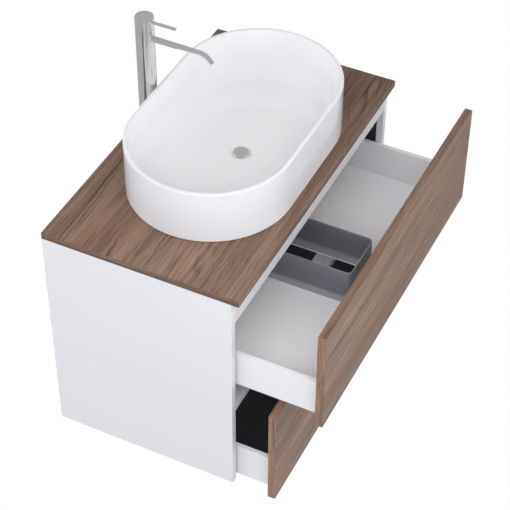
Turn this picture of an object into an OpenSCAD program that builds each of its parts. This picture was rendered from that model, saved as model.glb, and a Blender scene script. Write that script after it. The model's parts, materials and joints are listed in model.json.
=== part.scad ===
// Wall-hung bathroom vanity: walnut worktop and drawer fronts on a white cabinet,
// stadium-shaped vessel basin, tall single-lever tap and two soft-running drawers.
// Frame: X to the right, Y towards the wall, Z up. The wall is the plane Y = 0 and
// the origin is the middle of the wall-screw pattern. The drawers stand part open,
// as the object is shown: slide positions are counted from there.

/* [Cabinet] */
// Overall width of the cabinet and worktop
cab_w = 800; // [700:10:1000]
// Depth of the worktop from the wall to its front edge
top_d = 456; // [446:1:500]
// Thickness of the worktop
top_t = 16; // [14:1:30]
// Height of the side panels below the worktop
side_h = 554; // [550:1:580]
// Thickness of the cabinet boards
board_t = 16; // [15:1:18]
// Overhang of the worktop in front of the side panels
overhang = 17; // [12:1:19]
// Height of the worktop above the middle of the wall-screw pattern
screw_drop = 57; // [57:1:60]
// Height of the upright rail under the front of the worktop
top_rail_h = 66; // [40:1:70]
// Depth of the flat rail between the drawers
mid_rail_d = 42; // [30:1:80]
// Height of the middle rail's underside below the worktop's upper face
mid_rail_z = 347; // [330:1:350]

/* [Drawers] */
// How far the upper drawer is drawn out at rest
upper_out = 188; // [0:1:300]
// How far the lower drawer is drawn out at rest
lower_out = 84; // [0:1:300]
// Thickness of the drawer fronts
front_t = 18; // [16:1:20]
// Height of the upper drawer front
upper_front_h = 260; // [250:1:265]
// Height of the lower drawer front
lower_front_h = 266; // [255:1:268]
// Gap between the worktop and the upper front
front_gap = 3; // [2:0.5:6]
// Height of the drawer sides
side_wall_h = 91; // [80:1:120]
// Thickness of a double-walled drawer side
side_wall_t = 10.5; // [10.5:0.5:14]
// Sheet thickness of a drawer side
skin_t = 1.2; // [1:0.1:1.4]
// Clear gap between a drawer side and the side panel
runner_gap = 5; // [4:0.5:12]
// Thickness of the drawer bottoms
base_t = 3.5; // [3:0.5:6]

/* [Siphon surround] */
// Inner width of the U-shaped cut-out round the trap
well_w = 120; // [100:1:160]
// Wall thickness of the surround
well_t = 3; // [2:0.5:4]
// Height of the surround above the drawer bottom
well_h = 90; // [60:1:96]
// Outer corner radius of the surround
well_r = 13; // [8:1:20]
// Free space between the drawer front and the surround
well_front = 71; // [50:1:120]

/* [Basin] */
// Length of the basin
basin_l = 595; // [500:5:640]
// Width of the basin, front to back
basin_w = 367; // [340:1:370]
// Height of the basin
basin_h = 127; // [100:1:160]
// Distance of the basin's middle from the wall
basin_y = 245; // [243:1:255]
// Offset of the basin's middle to the right of the waste and the tap
basin_x = 8; // [-10:1:10]
// Thickness of the rim
rim_t = 8; // [6:1:12]
// Radius between the inner wall and the floor
bowl_r = 46; // [25:1:55]
// Height of the basin's inner floor above the worktop
floor_z = 11; // [10:1:20]
// Distance of the waste's middle from the wall
waste_y = 262; // [245:1:265]

/* [Tap] */
// Distance of the tap's middle from the wall
tap_y = 36; // [32:1:37]
// Diameter of the tap's column
tap_d = 41; // [38:1:44]
// Height of the tap above the worktop
tap_h = 299; // [260:1:360]
// Height of the turning cap
cap_h = 30; // [28:1:36]
// Reach of the spout from the tap's middle to its bend
spout_reach = 128; // [110:1:150]
// Diameter of the spout at its bend
spout_d = 11.5; // [11:0.5:13]
// Diameter of the pin lever
lever_d = 7; // [6:0.5:8]
// Length of the pin lever outside the cap
lever_l = 55; // [40:1:80]

/* [Drain] */
// Outer diameter of the drain pipe and tailpiece
pipe_d = 32; // [30:1:34]
// Height of the outlet pipe's middle below the worktop's upper face
outlet_z = 176; // [174:1:180]

/* [Hidden] */
$fn = 64;

// colours as shown
c_walnut = [0.55, 0.44, 0.38];
c_white = [0.90, 0.90, 0.91];
c_steel = [0.72, 0.73, 0.75];
c_chrome = [0.80, 0.81, 0.83];
c_brass = [0.72, 0.60, 0.35];
c_grey = [0.30, 0.31, 0.34];
c_ceramic = [0.96, 0.96, 0.97];
c_plastic = [0.93, 0.93, 0.93];
c_rubber = [0.12, 0.12, 0.12];
c_zinc = [0.62, 0.63, 0.64];
c_beech = [0.80, 0.66, 0.47];

// levels, from the worktop's upper face (zt) downwards
zt = screw_drop;
zu = zt - top_t;                  // underside of the worktop
zb = zu - side_h;                 // underside of the side panels
hw = cab_w / 2;
yc = -(top_d - overhang);         // front edges of the side panels
pad_t = 1;                        // gap that the bumper pads take
yf = yc - pad_t;                  // inner faces of the closed fronts
xi = hw - board_t;                // inner faces of the side panels
xs = xi - runner_gap;             // outer faces of the drawer sides
xn = xs - side_wall_t;            // inner faces of the drawer sides
drawer_back = -50;                // rear ends of the closed drawers
rear_y0 = -36;                    // rear rails, front face
rear_y1 = rear_y0 + board_t;

// upper drawer levels
uf1 = zu - front_gap;             // top of the upper front
uf0 = uf1 - upper_front_h;        // bottom of the upper front
us0 = uf0 + 12.5;                 // bottom of the upper drawer's sides
us1 = us0 + side_wall_h;
// lower drawer levels
lf0 = zb - 1;                     // bottom of the lower front
lf1 = lf0 + lower_front_h;
ls0 = zb + 11;                    // bottom of the lower drawer's sides
ls1 = ls0 + side_wall_h;          // (a drawer bottom's underside is level with its sides' lower edges)

// hanging plates and the wall-screw pattern
plate_x = xi - 42;                // screw holes, from the middle
plate_s = 26;                     // vertical spacing of the holes in one plate
plate_hole_r = 4.25;

// tap levels
tz = zt + tap_h;
seam_z = tz - cap_h;
spout_z = seam_z - 22;
spout_root = 1.3;                 // the run is thicker by this radius at the column
spout_thin = 0.9;                 // and the tip thinner by this at its end
lever_z = tz - 10;
spout_bend_r = 30;
spout_bend_a = 45;
spout_tip_l = 14;

// dowels: [y, z] of each end joint
dowel_r = 4;
dowel_pts = [
  [yc + board_t / 2, zu - 18], [yc + board_t / 2, zu - top_rail_h + 14],
  [yc + 10, zt - mid_rail_z + board_t / 2], [yc + mid_rail_d - 10, zt - mid_rail_z + board_t / 2],
  [rear_y0 + board_t / 2, zt - 102], [rear_y0 + board_t / 2, zt - 138],
  [rear_y0 + board_t / 2, zb + 30], [rear_y0 + board_t / 2, zb + 70]];

// runners: screws along each rail
runner_y0 = yc + 19;              // front end of the cabinet rails
runner_y1 = drawer_back;
runner_len = runner_y1 - runner_y0;
runner_screw_y = [runner_y0 + 20, (runner_y0 + runner_y1) / 2, runner_y1 - 20];
runner_screw_dz = 15;
runner_screw_r = 2;

// ---------- helpers ----------
module box(a, b) { translate(a) cube([b[0] - a[0], b[1] - a[1], b[2] - a[2]]); }
module tube(ro, ri, z0, z1) {
  difference() {
    translate([0, 0, z0]) cylinder(r = ro, h = z1 - z0);
    translate([0, 0, z0 - 1]) cylinder(r = ri, h = z1 - z0 + 2);
  }
}
module mirror_x() { mirror([1, 0, 0]) children(); }
module ydir() { rotate([-90, 0, 0]) children(); }    // +Z of the child becomes +Y

// ---------- cabinet ----------
module side_panel_r() {
  difference() {
    box([xi, yc, zb], [hw, 0, zu]);
    // dowel holes
    for (p = dowel_pts) translate([xi - 1, p[0], p[1]]) rotate([0, 90, 0]) cylinder(r = dowel_r, h = 13);
    // pilot holes of the runner screws
    for (s = [us0, ls0], y = runner_screw_y)
      translate([xi - 1, y, s + runner_screw_dz]) rotate([0, 90, 0]) cylinder(r = runner_screw_r, h = 13);
  }
}
module side_panel_right() { color(c_white) side_panel_r(); }
module side_panel_left() { color(c_white) mirror_x() side_panel_r(); }

// dowel ends reach 18 mm into each rail
module rail_end_holes(pts) {
  for (p = pts) {
    translate([xi - 18, p[0], p[1]]) rotate([0, 90, 0]) cylinder(r = dowel_r, h = 19);
    translate([-xi - 1, p[0], p[1]]) rotate([0, 90, 0]) cylinder(r = dowel_r, h = 19);
  }
}
module top_front_rail() {
  color(c_white) difference() {
    box([-xi, yc, zu - top_rail_h], [xi, yc + board_t, zu]);
    rail_end_holes([dowel_pts[0], dowel_pts[1]]);
  }
}
module mid_front_rail() {
  color(c_white) difference() {
    box([-xi, yc, zt - mid_rail_z], [xi, yc + mid_rail_d, zt - mid_rail_z + board_t]);
    rail_end_holes([dowel_pts[2], dowel_pts[3]]);
  }
}
module top_rear_rail() {
  color(c_white) difference() {
    box([-xi, rear_y0, zt - 156], [xi, rear_y1, zt - 88]);
    // notch that lets the supply hoses down from the tap
    box([-35, rear_y0 - 1, zt - 134], [35, rear_y1 + 1, zt - 87]);
    rail_end_holes([dowel_pts[4], dowel_pts[5]]);
  }
}
module bottom_rear_rail() {
  color(c_white) difference() {
    box([-xi, rear_y0, zb + 10], [xi, rear_y1, zb + 90]);
    rail_end_holes([dowel_pts[6], dowel_pts[7]]);
  }
}
module wood_dowels() {
  color(c_beech) for (p = dowel_pts, s = [-1, 1])
    translate([s > 0 ? xi - 17.5 : -xi - 11.5, p[0], p[1]]) rotate([0, 90, 0]) cylinder(r = dowel_r, h = 29);
}

module worktop() {
  color(c_walnut) difference() {
    box([-hw, -top_d, zu], [hw, 0, zt]);
    translate([0, -tap_y, zu - 1]) cylinder(r = 17.5, h = top_t + 2);
    translate([0, -waste_y, zu - 1]) cylinder(r = 24, h = top_t + 2);
  }
}

// ---------- basin: a profile swept round a stadium ----------
module stadium_solid(pts, half) {
  for (s = [-1, 1]) translate([s * half, 0, 0]) rotate([0, 0, s > 0 ? -90 : 90])
    rotate_extrude(angle = 180, $fn = 96) polygon(pts);
  rotate([90, 0, 90]) translate([0, 0, -half]) linear_extrude(2 * half)
    union() { polygon(pts); mirror([1, 0]) polygon(pts); }
}
rim_r = 1.2;                      // the rim is flat, with softened edges
function arc(cx, cz, r, a0, a1, n) = [for (i = [0 : n]) let (a = a0 + (a1 - a0) * i / n) [cx + r * cos(a), cz + r * sin(a)]];
module basin() {
  R = basin_w / 2;
  Ri = R - rim_t;
  half = (basin_l - basin_w) / 2;
  outer = concat([[0, 0]], arc(R - 3, 3, 3, -90, 0, 4), arc(R - rim_r, basin_h - rim_r, rim_r, 0, 90, 6), [[0, basin_h]]);
  inner = concat([[0, floor_z]], arc(Ri - 2 - bowl_r, floor_z + bowl_r, bowl_r, -90, 0, 10),
                 arc(Ri + rim_r, basin_h - rim_r, rim_r, 180, 90, 6), [[Ri + rim_r, basin_h + 2], [0, basin_h + 2]]);
  foot = [[0, -1], [R - 14, -1], [R - 14, 4], [R - 16, 5], [0, 5]];
  color(c_ceramic) translate([basin_x, -basin_y, zt]) difference() {
    stadium_solid(outer, half);
    stadium_solid(inner, half);
    stadium_solid(foot, half);
    translate([-basin_x, basin_y - waste_y, -1]) cylinder(r = 22, h = floor_z + 4);
  }
}

// ---------- waste and trap ----------
wf = zt + floor_z;                // basin floor level
thread_r = 20.9;
stem_r = 4;
module waste_body() {
  color(c_chrome) translate([0, -waste_y, 0]) difference() {
    union() {
      difference() {
        union() {
          translate([0, 0, wf]) cylinder(r1 = 23.8, r2 = 23, h = 2);
          translate([0, 0, zu - 44]) cylinder(r = thread_r, h = wf - zu + 44.5);
        }
        translate([0, 0, zu - 45]) cylinder(r = 17, h = wf - zu + 60);
      }
      // bridge that guides the plug's stem
      translate([-17.5, -2.5, wf - 26]) cube([35, 5, 6]);
      translate([0, 0, wf - 26]) cylinder(r = 7, h = 6);
    }
    translate([0, 0, wf - 30]) cylinder(r = stem_r + 0.06, h = 14);
  }
}
module waste_gasket() {
  color(c_rubber) translate([0, -waste_y, 0]) tube(30, 21, zu - 3, zu);
}
module waste_nut() {
  color(c_brass) translate([0, -waste_y, 0]) difference() {
    translate([0, 0, zu - 13]) cylinder(r = 31, h = 10, $fn = 6);
    translate([0, 0, zu - 14]) cylinder(r = 21, h = 12);
  }
}
// plug, down on its seat at rest
module waste_plug() {
  color(c_chrome) translate([0, -waste_y, 0]) union() {
    rotate_extrude() polygon(concat([[0, wf + 2.3]], [[18.2, wf + 2.3]], arc(17.8, wf + 3.9, 1.4, -40, 90, 6), [[0, wf + 5.6]]));
    translate([0, 0, wf - 34]) cylinder(r = stem_r, h = 37);
  }
}
module waste_plug_seal() {
  color(c_rubber) translate([0, -waste_y, 0]) tube(16.4, 12, wf - 0.7, wf + 2.3);
}
pr = pipe_d / 2;
module tailpiece_nut() {
  color(c_plastic) translate([0, -waste_y, 0]) difference() {
    union() {
      translate([0, 0, zu - 60]) cylinder(r = 25, h = 18);
      // grip ribs
      for (i = [0 : 11]) rotate([0, 0, i * 30]) translate([24, -1.5, zu - 58]) cube([2, 3, 14]);
    }
    translate([0, 0, zu - 50]) cylinder(r = 21, h = 10);
    translate([0, 0, zu - 61]) cylinder(r = pr + 0.2, h = 12);
  }
}
module tailpiece() {
  color(c_plastic) translate([0, -waste_y, 0]) difference() {
    union() {
      translate([0, 0, zt - 232]) cylinder(r = pr, h = 232 - top_t - 45);
      translate([0, 0, zu - 49]) cylinder(r = 20.4, h = 4);
    }
    translate([0, 0, zt - 233]) cylinder(r = pr - 1.5, h = 240);
  }
}
module trap_body() {
  color(c_plastic) translate([0, -waste_y, 0]) difference() {
    union() {
      translate([0, 0, zt - 208]) cylinder(r = 28, h = 60);
      translate([0, 0, zt - 148]) cylinder(r1 = 28, r2 = 21, h = 5);
      translate([0, 0, zt - 143]) cylinder(r = 21, h = 9);
      translate([0, 0, zt - outlet_z]) ydir() cylinder(r = 20, h = 45);
    }
    translate([0, 0, zt - 209]) cylinder(r = 25, h = 57);
    translate([0, 0, zt - 155]) cylinder(r = pr + 0.2, h = 30);
    translate([0, 0, zt - outlet_z]) ydir() cylinder(r = pr + 0.2, h = 46);
  }
}
module trap_cup() {
  color(c_plastic) translate([0, -waste_y, 0]) difference() {
    union() {
      translate([0, 0, zt - 220]) cylinder(r = 33, h = 22);
      translate([0, 0, zt - 250]) cylinder(r = 30, h = 31);
      translate([0, 0, zt - 260]) cylinder(r1 = 22, r2 = 30, h = 10);
      for (i = [0 : 15]) rotate([0, 0, i * 22.5]) translate([32, -1.5, zt - 218]) cube([2, 3, 18]);
    }
    translate([0, 0, zt - 208.5]) cylinder(r = 28.2, h = 12);
    translate([0, 0, zt - 256]) cylinder(r = 25, h = 50);
  }
}
module trap_outlet_nut() {
  color(c_plastic) translate([0, -waste_y, zt - outlet_z]) difference() {
    union() {
      translate([0, 36, 0]) ydir() cylinder(r = 24, h = 18);
      for (i = [0 : 11]) rotate([0, i * 30, 0]) translate([23, 38, -1.5]) cube([2, 14, 3]);
    }
    translate([0, 35, 0]) ydir() cylinder(r = 20.2, h = 10.2);
    translate([0, 35, 0]) ydir() cylinder(r = pr + 0.2, h = 20);
  }
}
module trap_outlet_pipe() {
  color(c_plastic) translate([0, 0, zt - outlet_z]) difference() {
    union() {
      translate([0, -waste_y + 31, 0]) ydir() cylinder(r = pr, h = waste_y - 31);
      // bead that stops the wall socket
      translate([0, -65, 0]) ydir() cylinder(r = pr + 1.5, h = 3);
    }
    translate([0, -waste_y + 30, 0]) ydir() cylinder(r = pr - 1.5, h = waste_y);
  }
}

// ---------- tap ----------
tr = tap_d / 2;
module at_tap() { translate([0, -tap_y, 0]) children(); }
module tap_base_gasket() { color(c_rubber) at_tap() tube(tr - 0.4, 16.4, zt, zt + 1.5); }
module tap_column() {
  color(c_chrome) at_tap() difference() {
    union() {
      translate([0, 0, zt + 1.5]) cylinder(r = tr, h = tap_h - cap_h - 1.5 - 0.8);
      translate([0, 0, seam_z - 0.8]) cylinder(r1 = tr, r2 = tr - 0.4, h = 0.4);
    }
    translate([0, 0, zt]) cylinder(r = 16, h = 180);
    translate([0, 0, seam_z - 40]) cylinder(r = 17.6, h = 42);
    translate([0, 0, zt + 170]) cylinder(r = 6, h = tap_h - cap_h - 180);
  }
}
module tap_shank() {
  color(c_brass) at_tap() difference() {
    translate([0, 0, zu - 21]) cylinder(r = 15.95, h = top_t + 21 + 30);
    // waterways
    for (s = [-1, 1]) translate([s * 7.5, 0, zu - 22]) cylinder(r = 3, h = 60);
  }
}
// threaded sockets for the supply hoses, on the shank's lower end
module tap_inlets() {
  color(c_brass) at_tap() for (s = [-1, 1]) translate([s * 7.5, 0, 0]) tube(7, 4.6, zu - 36, zu - 21);
}
module tap_clamp_washer() { color(c_steel) at_tap() tube(25, 16.4, zu - 3, zu); }
module tap_shank_nut() {
  color(c_brass) at_tap() difference() {
    translate([0, 0, zu - 11]) cylinder(r = 23, h = 8, $fn = 6);
    translate([0, 0, zu - 12]) cylinder(r = 16, h = 10);
  }
}
module tap_cartridge() {
  color(c_plastic) at_tap() difference() {
    union() {
      translate([0, 0, seam_z - 39]) cylinder(r = 17.5, h = 30);
      translate([0, 0, seam_z - 9]) cylinder(r = 11, h = 6);
    }
    translate([0, 0, seam_z - 24]) cylinder(r = 4.06, h = 30);
  }
}
module tap_cartridge_stem() {
  color(c_brass) at_tap() translate([0, 0, seam_z - 23]) cylinder(r = 4, h = 33);
}
module tap_cap() {
  color(c_chrome) at_tap() difference() {
    union() {
      translate([0, 0, seam_z]) cylinder(r1 = tr - 0.4, r2 = tr, h = 0.4);
      translate([0, 0, seam_z + 0.4]) cylinder(r = tr, h = cap_h - 1);
      translate([0, 0, tz - 0.6]) cylinder(r1 = tr, r2 = tr - 0.6, h = 0.6);
    }
    translate([0, 0, seam_z - 1]) cylinder(r = 17, h = 5);
    translate([0, 0, seam_z - 1]) cylinder(r = 4, h = 11);
    translate([0, -tr + 8, lever_z]) rotate([90, 0, 0]) cylinder(r = lever_d / 2, h = 20);
  }
}
module tap_lever() {
  color(c_chrome) at_tap() translate([0, -tr + 8, lever_z]) rotate([90, 0, 0]) union() {
    cylinder(r = lever_d / 2, h = lever_l + 8 - 0.6);
    translate([0, 0, lever_l + 7.4]) cylinder(r1 = lever_d / 2, r2 = lever_d / 2 - 0.6, h = 0.6);
  }
}
// spout: straight run, bend and tip, cut to the column's curve. The frame's origin is
// the bend's centre, its +X points up to the run and its +Y away from the wall.
module spout_frame() {
  translate([0, -tap_y - spout_reach, spout_z - spout_bend_r]) rotate([0, -90, 0]) mirror([0, 1, 0]) children();
}
module spout_tip() {
  spout_frame() rotate([0, 0, spout_bend_a]) translate([spout_bend_r, 0, 0]) rotate([-90, 0, 0]) children();
}
module tap_spout() {
  sr = spout_d / 2;
  color(c_chrome) difference() {
    union() {
      spout_frame() translate([spout_bend_r, 0, 0]) rotate([90, 0, 0]) cylinder(r1 = sr, r2 = sr + spout_root, h = spout_reach);
      spout_frame() rotate_extrude(angle = spout_bend_a) translate([spout_bend_r, 0]) circle(r = sr);
      spout_tip() cylinder(r1 = sr, r2 = sr - spout_thin, h = spout_tip_l);
    }
    at_tap() translate([0, 0, zt + 150]) cylinder(r = tr, h = tap_h);
    spout_tip() translate([0, 0, 4]) cylinder(r = sr - 2, h = spout_tip_l);
  }
}
module tap_aerator() {
  sr = spout_d / 2;
  color(c_plastic) spout_tip() translate([0, 0, 4]) difference() {
    cylinder(r = sr - 2.05, h = spout_tip_l - 4.8);
    translate([0, 0, 4]) for (i = [0 : 5]) rotate([0, 0, i * 60]) translate([2.1, 0, 0]) cylinder(r = 0.6, h = 10, $fn = 24);
  }
}

// ---------- wall hanging ----------
module hanger_r() {
  difference() {
    union() {
      box([xi - 17, -64, zt - 80], [xi, -14, zu - 2]);
      // hook over the wall plate's lip
      box([xi - 14, -16, zu - 5], [xi - 3, -5, zu - 2.5]);
      box([xi - 14, -7.3, zu - 13], [xi - 3, -5, zu - 2.5]);
    }
    // height and depth adjusting screws
    for (z = [zt - 64, zt - 38]) translate([xi - 8.5, -60, z]) rotate([90, 0, 0]) cylinder(r = 3.5, h = 10);
  }
}
module hanger_right() { color(c_zinc) hanger_r(); }
module hanger_left() { color(c_zinc) mirror_x() hanger_r(); }
module wall_plate_r() {
  x0 = plate_x - 20;
  x1 = xi - 1;
  difference() {
    union() {
      box([x0, -2, -plate_s / 2 - 14], [x1, 0, zu - 14]);
      box([x0, -10, zu - 16], [x1, 0, zu - 14]);
      box([x0, -10, zu - 16], [x1, -8, zu - 5]);
    }
    for (s = [-1, 1]) translate([plate_x, -3, s * plate_s / 2]) ydir() cylinder(r = plate_hole_r, h = 4);
  }
}
module wall_plate_right() { color(c_steel) wall_plate_r(); }
module wall_plate_left() { color(c_steel) mirror_x() wall_plate_r(); }

// ---------- runners ----------
// All three members nest inside the hollow drawer side. u runs inwards from the
// side's outer face, z0 is the side's lower edge.
module runner_rail_r(z0) {
  x = function(u) xs - u;
  difference() {
    union() {
      box([xi - 1.5, runner_y0, z0 - 2.5], [xi, runner_y1, z0 + 30]);
      box([x(8.7), runner_y0, z0 - 2.5], [xi, runner_y1, z0 - 1]);
      box([x(8.7), runner_y0, z0 - 2.5], [x(7.3), runner_y1, z0 + 40]);
      box([x(8.7), runner_y0, z0 + 38.5], [x(5.4), runner_y1, z0 + 40]);
      box([x(8.7), runner_y0, z0 + 8], [x(5.4), runner_y1, z0 + 9.5]);
    }
    for (y = runner_screw_y) translate([xi - 3, y, z0 + runner_screw_dz]) rotate([0, 90, 0]) cylinder(r = runner_screw_r, h = 5);
  }
}
module runner_slide_r(z0) {
  difference() {
    box([xs - 6.9, runner_y0, z0 + 9.9], [xs - 2.8, runner_y1, z0 + 38.1]);
    box([xs - 5.8, runner_y0 - 1, z0 + 11], [xs - 3.9, runner_y1 + 1, z0 + 37]);
  }
}
module runner_carrier_r(z0) {
  y0 = yf + 1;
  box([xs - 2.4, y0, z0 + 8], [xs - skin_t, runner_y1, z0 + 40]);
  box([xs - 3.9, y0, z0 + 38.5], [xs - skin_t, runner_y1, z0 + 40]);
  box([xs - 3.9, y0, z0 + 8], [xs - skin_t, runner_y1, z0 + 9.5]);
}
module both() { children(); mirror_x() children(); }
module upper_runner_rail_right() { color(c_steel) runner_rail_r(us0); }
module upper_runner_rail_left() { color(c_steel) mirror_x() runner_rail_r(us0); }
module lower_runner_rail_right() { color(c_steel) runner_rail_r(ls0); }
module lower_runner_rail_left() { color(c_steel) mirror_x() runner_rail_r(ls0); }
module upper_runner_slides() { color(c_steel) translate([0, -upper_out / 2, 0]) both() runner_slide_r(us0); }
module lower_runner_slides() { color(c_steel) translate([0, -lower_out / 2, 0]) both() runner_slide_r(ls0); }
module upper_runner_carriers() { color(c_steel) translate([0, -upper_out, 0]) both() runner_carrier_r(us0); }
module lower_runner_carriers() { color(c_steel) translate([0, -lower_out, 0]) both() runner_carrier_r(ls0); }
module runner_screws() {
  color(c_zinc) both() for (s = [us0, ls0], y = runner_screw_y) translate([0, y, s + runner_screw_dz]) rotate([0, 90, 0]) {
    translate([0, 0, xi - 1.5]) cylinder(r = runner_screw_r, h = 13);
    translate([0, 0, xi - 3.2]) cylinder(r1 = 3.2, r2 = 4, h = 1.7);
  }
}
module bumper_pads() {
  color(c_plastic) both() for (z = [uf1 - 18, uf0 + 18, lf1 - 18, lf0 + 18])
    translate([xi + board_t / 2, yc, z]) rotate([90, 0, 0]) cylinder(r = 4, h = pad_t - 0.2);
}

// ---------- drawers ----------
module front_board(z0, z1) { box([-hw, yf - front_t, z0], [hw, yf, z1]); }
module drawer_side_r(z0) {
  h = side_wall_h;
  difference() {
    box([xn, yf, z0], [xs, drawer_back, z0 + h]);
    box([xn + skin_t, yf - 1, z0 - 1], [xs - skin_t, drawer_back + 1, z0 + h - skin_t]);
  }
  // flange that carries the drawer bottom
  box([xn - 12, yf, z0 - skin_t], [xn + skin_t, drawer_back, z0]);
  box([xn, yf, z0 - skin_t], [xn + skin_t, drawer_back, z0 + 1]);
}
// brackets inside the hollow sides that hold the front
module front_bracket_r(z0) {
  difference() {
    box([xn + skin_t, yf, z0 + 50], [xs - skin_t, yf + 26, z0 + side_wall_h - skin_t]);
    box([xn + skin_t + 1.6, yf + 4, z0 + 54], [xs - skin_t - 1.6, yf + 30, z0 + side_wall_h - skin_t - 4]);
    translate([xn + side_wall_t / 2, yf - 1, z0 + 70]) ydir() cylinder(r = 2.2, h = 6);
  }
}
module drawer_bottom(z0) { box([-xn, yf, z0], [xn, drawer_back, z0 + base_t]); }

well_i = well_w / 2;
well_y0 = yf + well_front;        // outer face of the surround's front wall, drawer closed
us_top = us0 + base_t;
module u_plan(grow, y_end) {
  // plan of the surround: a box with two rounded front corners
  x = well_i + well_t + grow;
  r = well_r + grow;
  y0 = well_y0 - grow;
  union() {
    translate([-x, y0 + r]) square([2 * x, y_end - y0 - r]);
    translate([-x + r, y0]) square([2 * (x - r), r + 1]);
    for (s = [-1, 1]) translate([s * (x - r), y0 + r]) circle(r = r);
  }
}
foot_g = 1.2;                     // the foot band stands proud of the wall
foot_h = 23;
module siphon_surround() {
  color(c_grey) translate([0, -upper_out, 0]) difference() {
    union() {
      translate([0, 0, us_top]) linear_extrude(well_h) u_plan(0, drawer_back);
      translate([0, 0, us_top]) linear_extrude(foot_h) u_plan(foot_g, drawer_back);
    }
    translate([0, 0, us_top + foot_h]) linear_extrude(well_h) u_plan(-well_t, drawer_back + 1);
    translate([0, 0, us_top - 1]) linear_extrude(foot_h + 2) u_plan(-well_t - foot_g, drawer_back + 1);
  }
}
module upper_base() {
  color(c_white) translate([0, -upper_out, 0]) difference() {
    drawer_bottom(us0);
    translate([0, 0, us0 - 5]) linear_extrude(30) u_plan(-well_t - foot_g, drawer_back + 1);
  }
}
module lower_base() { color(c_white) translate([0, -lower_out, 0]) drawer_bottom(ls0); }
back_t = 12;
back_h = side_wall_h - base_t - 12;
module upper_back_r() {
  x0 = well_i + well_t + foot_g;
  z = us_top;
  box([x0, drawer_back - back_t, z], [xn, drawer_back, z + back_h]);
}
module upper_back_right() { color(c_white) translate([0, -upper_out, 0]) upper_back_r(); }
module upper_back_left() { color(c_white) translate([0, -upper_out, 0]) mirror_x() upper_back_r(); }
module lower_back() {
  z = ls0 + base_t;
  color(c_white) translate([0, -lower_out, 0]) box([-xn, drawer_back - back_t, z], [xn, drawer_back, z + back_h]);
}
module upper_front() { color(c_walnut) translate([0, -upper_out, 0]) front_board(uf0, uf1); }
module lower_front() { color(c_walnut) translate([0, -lower_out, 0]) front_board(lf0, lf1); }
module upper_side_right() { color(c_white) translate([0, -upper_out, 0]) drawer_side_r(us0); }
module upper_side_left() { color(c_white) translate([0, -upper_out, 0]) mirror_x() drawer_side_r(us0); }
module lower_side_right() { color(c_white) translate([0, -lower_out, 0]) drawer_side_r(ls0); }
module lower_side_left() { color(c_white) translate([0, -lower_out, 0]) mirror_x() drawer_side_r(ls0); }
module upper_front_brackets() { color(c_zinc) translate([0, -upper_out, 0]) both() front_bracket_r(us0); }
module lower_front_brackets() { color(c_zinc) translate([0, -lower_out, 0]) both() front_bracket_r(ls0); }

side_panel_left();
side_panel_right();
top_front_rail();
mid_front_rail();
top_rear_rail();
bottom_rear_rail();
wood_dowels();
worktop();
basin();
waste_body();
waste_gasket();
waste_nut();
tailpiece_nut();
tailpiece();
trap_body();
trap_cup();
trap_outlet_nut();
trap_outlet_pipe();
tap_column();
tap_base_gasket();
tap_shank();
tap_clamp_washer();
tap_shank_nut();
tap_inlets();
tap_cartridge();
tap_spout();
tap_aerator();
hanger_left();
hanger_right();
wall_plate_left();
wall_plate_right();
upper_runner_rail_left();
upper_runner_rail_right();
lower_runner_rail_left();
lower_runner_rail_right();
runner_screws();
bumper_pads();
waste_plug();
waste_plug_seal();
tap_cartridge_stem();
tap_cap();
tap_lever();
upper_runner_slides();
lower_runner_slides();
upper_front();
upper_side_left();
upper_side_right();
upper_base();
upper_back_left();
upper_back_right();
siphon_surround();
upper_front_brackets();
upper_runner_carriers();
lower_front();
lower_side_left();
lower_side_right();
lower_base();
lower_back();
lower_front_brackets();
lower_runner_carriers();
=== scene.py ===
"""Looks of the wall-hung vanity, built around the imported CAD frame. Metres, +Z up, wall at Y = 0."""

import json
import math

import bmesh
import bpy
from mathutils import Matrix, Vector

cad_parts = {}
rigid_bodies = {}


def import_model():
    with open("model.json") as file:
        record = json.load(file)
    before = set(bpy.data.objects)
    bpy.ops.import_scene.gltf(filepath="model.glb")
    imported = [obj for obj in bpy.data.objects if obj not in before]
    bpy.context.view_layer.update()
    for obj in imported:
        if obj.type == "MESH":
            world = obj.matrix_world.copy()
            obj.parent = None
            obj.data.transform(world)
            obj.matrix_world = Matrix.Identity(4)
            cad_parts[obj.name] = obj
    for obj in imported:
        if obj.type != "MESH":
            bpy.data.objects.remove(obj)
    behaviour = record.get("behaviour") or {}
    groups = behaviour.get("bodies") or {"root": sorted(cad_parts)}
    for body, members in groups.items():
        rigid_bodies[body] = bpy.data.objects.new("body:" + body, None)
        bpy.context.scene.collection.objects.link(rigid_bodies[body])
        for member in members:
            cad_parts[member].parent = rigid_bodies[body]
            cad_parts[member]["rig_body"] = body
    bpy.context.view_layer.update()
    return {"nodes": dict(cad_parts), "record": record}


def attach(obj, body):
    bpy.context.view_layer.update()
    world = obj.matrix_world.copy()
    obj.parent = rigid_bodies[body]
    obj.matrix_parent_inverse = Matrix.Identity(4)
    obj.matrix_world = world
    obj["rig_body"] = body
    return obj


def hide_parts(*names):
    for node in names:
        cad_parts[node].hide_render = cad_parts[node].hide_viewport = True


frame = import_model()
MM = 0.001
NODES = frame["nodes"]
BODY = {n: o["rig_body"] for n, o in NODES.items()}


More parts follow.
